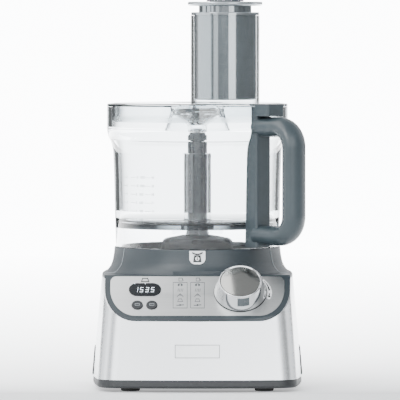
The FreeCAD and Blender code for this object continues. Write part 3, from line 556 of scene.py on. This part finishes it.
# ---------------------------------------------------------------- studio
# World brightness by the azimuth in degrees that it comes from: 0 is the front, 90 the right, 180 the back.
# Upright faces mirror the low ring, and the tapered steel mirrors the high one.
LOW_RING = [
    (-180, 4.0),
    (-172, 4.0),
    (-165, 0.10),
    (-116, 0.10),
    (-108, 1.5),
    (-45, 1.5),
    (-42, 0.2),
    (-36, 0.2),
    (-33, 0.25),
    (29, 0.25),
    (33, 0.14),
    (160, 0.14),
    (171, 4.0),
    (180, 4.0),
]
HIGH_RING = [
    (-180, 0.9),
    (-92, 0.9),
    (-87, 1.7),
    (-79, 1.7),
    (-66, 0.5),
    (-50, 0.4),
    (-42, 2.2),
    (-24, 2.2),
    (-19, 1.9),
    (17, 1.9),
    (21, 2.3),
    (38, 2.3),
    (42, 0.8),
    (58, 0.45),
    (74, 0.15),
    (82, 0.15),
    (92, 1.0),
    (143, 1.0),
    (165, 1.0),
    (180, 0.9),
]
OVERHEAD = (0.34, 0.35, 0.36, 1)
BACKGROUND = (6.5, 6.6, 6.7, 1)
WORLD_STRENGTH = 1.9
RING_CHANGE = (0.03, 0.08)  # heights on the unit sphere between which low gives way to high
DOME_CHANGE = (0.5, 0.8)  # and high to overhead

FLOOR_R = 3.0
FLOOR_GLOW_FROM_Y = -0.12
FLOOR_GLOW = 11.0  # emission at the far edge
FLOOR_GLOW_POWER = 0.7


class World:
    """The studio's world under construction."""

    def __init__(self):
        self.world = bpy.data.worlds.new("studio")
        self.world.use_nodes = True
        self.tree = self.world.node_tree
        self.background = self.tree.nodes["Background"]
        coords = self.tree.nodes.new("ShaderNodeTexCoord")
        self.axes = self.tree.nodes.new("ShaderNodeSeparateXYZ")
        self.link(coords.outputs["Generated"], self.axes.inputs["Vector"])

    def link(self, a, b):
        self.tree.links.new(a, b)

    def azimuth(self):
        """Azimuth as a factor from 0 (behind, going round by the left) to 1."""
        flip = self.tree.nodes.new("ShaderNodeMath")
        flip.operation = "MULTIPLY"
        flip.inputs[1].default_value = -1.0
        self.link(self.axes.outputs["Y"], flip.inputs[0])
        turn = self.tree.nodes.new("ShaderNodeMath")
        turn.operation = "ARCTAN2"
        self.link(self.axes.outputs["X"], turn.inputs[0])
        self.link(flip.outputs[0], turn.inputs[1])
        return self.between(turn.outputs[0], -math.pi, math.pi)

    def between(self, value, low, high):
        """Factor from 0 at low to 1 at high."""
        node = self.tree.nodes.new("ShaderNodeMapRange")
        node.inputs["From Min"].default_value = low
        node.inputs["From Max"].default_value = high
        self.link(value, node.inputs["Value"])
        return node.outputs["Result"]

    def ring(self, fac, levels):
        node = self.tree.nodes.new("ShaderNodeValToRGB")
        stops = node.color_ramp.elements
        while len(stops) < len(levels):
            stops.new(0.5)
        for stop, (degrees, level) in zip(stops, levels):
            stop.position = degrees / 360.0 + 0.5
            stop.color = (level * 0.98, level, level * 1.02, 1)
        self.link(fac, node.inputs["Fac"])
        return node.outputs["Color"]

    def mix(self, fac, a, b):
        """Mixes two colours, each a socket or a fixed colour."""
        node = self.tree.nodes.new("ShaderNodeMix")
        node.data_type = "RGBA"
        self.link(fac, node.inputs["Factor"])
        for name, value in (("A", a), ("B", b)):
            if isinstance(value, tuple):
                node.inputs[name].default_value = value
            else:
                self.link(value, node.inputs[name])
        return node.outputs["Result"]


def studio_world():
    """Bright and dark upright strips for the metal to mirror, and a plain pale background for the camera."""
    w = World()
    around = w.azimuth()
    height = w.axes.outputs["Z"]
    low, high = w.ring(around, LOW_RING), w.ring(around, HIGH_RING)
    sides = w.mix(w.between(height, *RING_CHANGE), low, high)
    dome = w.mix(w.between(height, *DOME_CHANGE), sides, OVERHEAD)
    seen = w.tree.nodes.new("ShaderNodeLightPath")
    w.link(w.mix(seen.outputs["Is Camera Ray"], dome, BACKGROUND), w.background.inputs["Color"])
    w.background.inputs["Strength"].default_value = WORLD_STRENGTH
    bpy.context.scene.world = w.world


def floor():
    """Plain pale floor that glows more and more behind the object, so that it runs into the background."""
    mesh = bmesh.new()
    bmesh.ops.create_circle(mesh, cap_ends=True, segments=96, radius=FLOOR_R)
    data = bpy.data.meshes.new("floor")
    mesh.to_mesh(data)
    mesh.free()
    s = Shader("floor").set(Metallic=0.0)
    fac = s.noise(3.0, 2.0)
    axes = s.tree.nodes.new("ShaderNodeSeparateXYZ")
    s.link(s.coords, axes.inputs["Vector"])
    depth = s.tree.nodes.new("ShaderNodeMapRange")
    depth.inputs["From Min"].default_value = FLOOR_GLOW_FROM_Y
    depth.inputs["From Max"].default_value = FLOOR_R
    s.link(axes.outputs["Y"], depth.inputs["Value"])
    rise = s.tree.nodes.new("ShaderNodeMath")
    rise.operation = "POWER"
    rise.inputs[1].default_value = FLOOR_GLOW_POWER
    s.link(depth.outputs["Result"], rise.inputs[0])
    glow = s.tree.nodes.new("ShaderNodeMath")
    glow.operation = "MULTIPLY"
    glow.inputs[1].default_value = FLOOR_GLOW
    s.link(rise.outputs[0], glow.inputs[0])
    s.set(Emission_Color=(0.98, 0.99, 1.0, 1))
    s.link(glow.outputs[0], s.bsdf.inputs["Emission Strength"])
    color = s.ramp(fac, (0.92, 0.93, 0.94), (0.93, 0.94, 0.95))
    data.materials.append(s.wire(color, s.spread(fac, 0.55, 0.6)))
    obj = bpy.data.objects.new("floor", data)
    bpy.context.scene.collection.objects.link(obj)


def softbox(name, location, size, power, aim=(0, 0, 0.2)):
    """Rectangular area light that the camera doesn't see."""
    light = bpy.data.lights.new(name, "AREA")
    light.shape = "RECTANGLE"
    light.size, light.size_y = size
    light.energy = power
    lamp = bpy.data.objects.new(name, light)
    lamp.visible_camera = False
    lamp.location = location
    direction = Vector(aim) - Vector(location)
    lamp.rotation_mode = "QUATERNION"
    lamp.rotation_quaternion = direction.to_track_quat("-Z", "Y")
    bpy.context.scene.collection.objects.link(lamp)


def studio():
    studio_world()
    floor()
    softbox("key", (-1.6, -1.9, 1.9), (1.2, 1.2), 40)
    softbox("over_left", (-0.55, -0.15, 1.0), (0.9, 0.9), 10, (-0.55, -0.15, 0.0))
    softbox("pusher_bright", (1.40, -5.0, 0.32), (2.4, 0.36), 12, (0, 0, 0.36))
    softbox("pusher_soft", (-2.2, -5.0, 0.32), (1.7, 0.36), 3.5, (0, 0, 0.36))


def camera():
    """Long lens from straight in front, two degrees above the machine's middle."""
    sensor = 36.0
    distance = 5.5
    framed_width = 0.4272  # metres that the picture is wide at the object
    data = bpy.data.cameras.new("camera")
    data.sensor_width = sensor
    data.lens = sensor * distance / framed_width
    data.clip_start, data.clip_end = 0.1, 50.0
    cam = bpy.data.objects.new("camera", data)
    aim = Vector((2.8 * MM, BOWL_Y, 195.6 * MM))
    lift = math.radians(2.0)
    cam.location = aim + Vector((0, -math.cos(lift), math.sin(lift))) * distance
    cam.rotation_euler = (math.radians(90.0) - lift, 0, 0)
    bpy.context.scene.collection.objects.link(cam)
    bpy.context.scene.camera = cam


studio()
camera()
